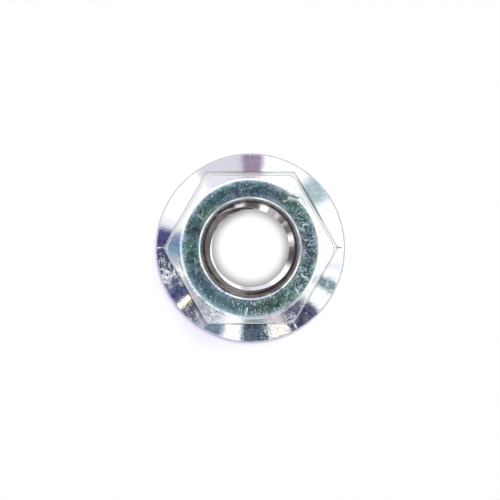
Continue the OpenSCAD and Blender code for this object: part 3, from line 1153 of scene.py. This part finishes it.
in_bore = tree.smoothstep(place["Radius"], 2.45 * MM, 3.45 * MM, 1.0, edge_shade)
bore_table = tree.node("ShaderNodeEmission", {"Color": WHITE, "Strength": in_bore})
beyond = tree.math("GREATER_THAN", place["Radius"], major_r * MM)
shown = tree.node("ShaderNodeMixShader", [beyond, bore_table, open_table])
either = tree.node("ShaderNodeMixShader", [seen, plain, shown])
tree.node("ShaderNodeOutputMaterial", [either])
table_mesh.materials.append(table_paint)
print("table:", TABLE_SIZE, "m square")

# %% [markdown]
# ## White surroundings with dark cards
#
# Bright metal has no look of its own: it shows what is round it. In a white tent it would vanish,
# so a photographer hangs grey and black cards, and the camera itself is a dark patch right above
# the nut. The world below is such a tent. The flange slopes by 25 degrees and is seen from above,
# so it mirrors what stands 40 degrees above the horizon, in the same direction as the place on the
# flange. The chamfer slopes by 30 degrees and mirrors 30 degrees. The flat top mirrors the zenith.
#
# So a card has a bearing and a width, a foot and a top, and one depth for the flange's reflection
# and another, lower down, for the chamfer's. The dark patch overhead multiplies the tent, and below
# 20 degrees the tent ends and a dim room shows, which the nut's sides mirror.
#
# The metal also throws the tent's light down on the table. That light would fill the nut's faint
# shadow, so only a tenth of it is kept.

# %% A card in the world
EDGE_SOFT = 3.0
CHAMFER_SEES, FLANGE_SEES = 32.0, 37.0
tree, given = new_group("studio_card", {
    "Bearing": "Float", "Elevation": "Float", "At": 0.0, "Half Width": 10.0, "Softness": 2.0,
    "Depth": 1.0, "Low Depth": 0.5, "Foot": 21.0, "Top": 48.0}, {"Mask": "Float"})
side = tree.use(sector, bearing=given["Bearing"], at=given["At"], half_width=given["Half Width"],
                softness=given["Softness"])["Mask"]
bottom = tree.smoothstep(given["Elevation"], tree.minus(given["Foot"], EDGE_SOFT),
                         tree.plus(given["Foot"], EDGE_SOFT))
top = tree.smoothstep(given["Elevation"], tree.plus(given["Top"], EDGE_SOFT),
                      tree.minus(given["Top"], EDGE_SOFT))
split = tree.smoothstep(given["Elevation"], CHAMFER_SEES, FLANGE_SEES, given["Low Depth"], given["Depth"])
tree.node("NodeGroupOutput", [tree.times(side, top, bottom, split)])
studio_card = tree.tree

# %% Colours and places of the cards
SAGE = (0.47, 0.60, 0.62)
SEA = (0.24, 0.33, 0.35)
ICE = (0.62, 0.70, 0.92)
PLUM = (0.36, 0.25, 0.36)
PEARL = (0.68, 0.65, 0.74)
INDIGO = (0.10, 0.09, 0.24)
SLATE = (0.10, 0.11, 0.18)
NAVY = (0.13, 0.14, 0.26)
DUSK = (0.15, 0.14, 0.20)
PETROL = (0.21, 0.28, 0.35)
INK = (0.10, 0.13, 0.175)
SHADE = (0.115, 0.11, 0.17)
HAZE = (0.26, 0.34, 0.38)
BRASS = (0.46, 0.30, 0.17)
GLEAM = (2.6, 2.4, 1.8)
cards = [
    # bearing, half width, softness, depth, low depth and colour, then foot and top where they differ
    (41, 8.5, 6, 0.95, 0.36, SAGE),
    (110, 16, 4, 0.86, 0.62, PEARL),
    (89, 6.9, 2.2, 0.95, 0.50, PLUM),
    (163, 4, 3, 0.45, 0.20, PEARL),
    (174.5, 7.4, 3.4, 1.0, 0.76, INDIGO),
    (187, 7.5, 3, 1.0, 0.60, SLATE),
    (195.5, 4.0, 1.6, 0.92, 0.08, SLATE, 21, 47),
    (221, 18, 2.0, 0.68, 0.46, DUSK),
    (211.8, 5.4, 1.4, 1.0, 0.20, NAVY),
    (220.6, 2.6, 0.6, 1.0, 0.05, BRASS),
    (219.6, 1.1, 0.4, 1.0, 0.05, GLEAM),
    (227.8, 5.0, 1.6, 0.92, 0.40, DUSK),
    (245.6, 6.2, 1.3, 0.98, 0.36, PETROL),
    (272.3, 7.5, 1.2, 1.0, 0.77, INK, 21, 42),
    (286, 8, 3, 0.04, 0.40, SLATE, 21, 42),
    (299, 5.0, 2, 0.04, 0.72, SLATE, 21, 42),
    (307.0, 9.8, 1.8, 1.0, 0.93, SHADE, 21, 42),
    (291, 29, 4, 0.62, 0.62, HAZE, 45, 68),
    (320, 4, 3, 0.22, 0.10, PEARL),
    (334.0, 3.8, 1.4, 0.95, 0.50, SEA),
    (347.2, 3.0, 1.2, 0.5, 0.05, ICE),
]

# %% The tent, the patch overhead and the room below
TENT = 1.2
BOUNCED = 0.1
OVERHEAD_SPAN = 50.0
TENT_FOOT, ROOM_TOP = 20.0, 12.0
world = bpy.data.worlds.new("white_tent")
bpy.context.scene.world = world
world.use_nodes = True
world.node_tree.nodes.clear()
tree = Paint(world.node_tree)
look = tree.node("ShaderNodeTexCoord").outputs["Generated"]
east, north, up = tree.node("ShaderNodeSeparateXYZ", [look]).outputs
bearing = tree.times(tree.math("ARCTAN2", north, east), DEGREES)
elevation = tree.times(tree.math("ARCSINE", up), DEGREES)
tent = (TENT, TENT, TENT)
for at, half_width, softness, depth, low_depth, colour, *reach in cards:
    foot_and_top = dict(zip(("foot", "top"), reach))
    card = tree.use(studio_card, bearing=bearing, elevation=elevation, at=at, half_width=half_width,
                    softness=softness, depth=depth, low_depth=low_depth, **foot_and_top)["Mask"]
    tent = tree.mix(card, tent, colour)
from_zenith = tree.math("DIVIDE", tree.minus(90.0, elevation), OVERHEAD_SPAN)
overhead = tree.ramp(from_zenith,
                     (0.0, (0.088, 0.113, 0.124)), (0.12, (0.105, 0.132, 0.144)),
                     (0.24, (0.155, 0.187, 0.200)), (0.36, (0.24, 0.275, 0.29)),
                     (0.48, (0.43, 0.47, 0.49)), (0.60, (0.80, 0.83, 0.84)), (0.70, (1.0, 1.0, 1.0)))
tent = tree.mix(1.0, tent, overhead, "MULTIPLY")
level_look = tree.node("ShaderNodeCombineXYZ", [east, north, 0.0]).outputs[0]
room = tree.ramp(tree.noise(level_look, 2.2, 2.0, 0.6),
                 (0.35, (0.09, 0.08, 0.08)), (0.5, (0.20, 0.18, 0.17)), (0.65, (0.42, 0.40, 0.42)))
tent = tree.mix(tree.smoothstep(elevation, TENT_FOOT, ROOM_TOP), tent, room)
print("cards in the tent:", len(cards))

# %% What each kind of ray sees of the world
AMBIENT = 0.02
path = tree.node("ShaderNodeLightPath").outputs
mirrored = tree.math("MAXIMUM", path["Is Glossy Ray"], path["Is Transmission Ray"])
from_table = tree.math("GREATER_THAN", path["Diffuse Depth"], 0.5)
seen = tree.node("ShaderNodeBackground", [tent, tree.math("MULTIPLY_ADD", from_table, BOUNCED - 1, 1.0)])
lighting = tree.node("ShaderNodeBackground", [WHITE, AMBIENT])
backdrop = tree.node("ShaderNodeBackground", [WHITE, 1.0])
either = tree.node("ShaderNodeMixShader", [mirrored, lighting, seen])
either = tree.node("ShaderNodeMixShader", [path["Is Camera Ray"], either, backdrop])
tree.node("ShaderNodeOutputWorld", [either])

# %% [markdown]
# ## Two soft lamps
#
# A bluish lamp nearly overhead lights the table. It is 15 degrees wide, seen from the nut, so its
# shadow is soft. A second, weaker and yellow-green lamp leans to the upper right. Together they
# light the table white, and the nut's faint, cool shadow falls to the lower left, where only the
# bluish lamp reaches. The metal doesn't mirror the lamps: its reflections come from the tent alone,
# as if the lamps shone through the tent's cloth.

# %% Lamps
def add_lamp(name, strength, width, lean, azimuth, colour):
    """A sun lamp: width is how wide it looks from the nut, and lean is its angle from the zenith."""
    data = bpy.data.lights.new(name, "SUN")
    data.energy = strength * math.pi
    data.angle = math.radians(width)
    data.color = colour
    lean = math.radians(lean)
    azimuth = math.radians(azimuth)
    towards = Vector((math.sin(lean) * math.cos(azimuth), math.sin(lean) * math.sin(azimuth), math.cos(lean)))
    lamp = bpy.data.objects.new(name, data)
    lamp.rotation_euler = towards.to_track_quat("Z", "Y").to_euler()
    lamp.visible_glossy = False
    bpy.context.scene.collection.objects.link(lamp)
    print(name, "leans", round(math.degrees(lean)), "degrees and looks", width, "degrees wide")


add_lamp("overhead_lamp", 0.948, 15, 2, 100, (0.814, 0.783, 1.0))
add_lamp("side_lamp", 0.30, 18, 15, 58, (0.9, 1.0, 0.3))

# %% [markdown]
# ## Camera
#
# The picture is 500 pixels square, and the flange is 189 of them wide, a little above the middle.
# The camera looks almost straight down from 400 mm, with a long lens, so the hexagon's flats are
# seen nearly edge-on.

# %% Camera
CAMERA_DISTANCE = 400.0
CAMERA_LEAN = math.radians(0.3)
PICTURE = 500
flange_width_px = 189.0
flange_centre_px = (250.4, 247.9)
SENSOR = 36.0

mm_per_px = 2 * flange_r / flange_width_px
lens = (CAMERA_DISTANCE - rim_h) / (mm_per_px * PICTURE) * SENSOR
aim = Vector(((PICTURE / 2 - flange_centre_px[0]) * mm_per_px,
              (flange_centre_px[1] - PICTURE / 2) * mm_per_px, rim_h)) * MM
back = Vector((0, math.sin(CAMERA_LEAN), math.cos(CAMERA_LEAN)))
camera_data = bpy.data.cameras.new("camera")
camera_data.sensor_width = SENSOR
camera_data.lens = lens
camera = bpy.data.objects.new("camera", camera_data)
camera.location = aim + back * (CAMERA_DISTANCE - rim_h) * MM
camera.rotation_euler = (-CAMERA_LEAN, 0, 0)
bpy.context.scene.collection.objects.link(camera)
bpy.context.scene.camera = camera
print("lens:", round(lens, 1), "mm; one pixel covers", round(mm_per_px, 4), "mm")

# %% [markdown]
# ## Colours and boxes
#
# The Standard view shows a colour about as it is written. At the very end the box of the dressed
# nut is measured, because the look must not change the size.

# %% Colours as written
bpy.context.scene.view_settings.view_transform = "Standard"

# %% Box of the dressed nut
low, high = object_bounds()
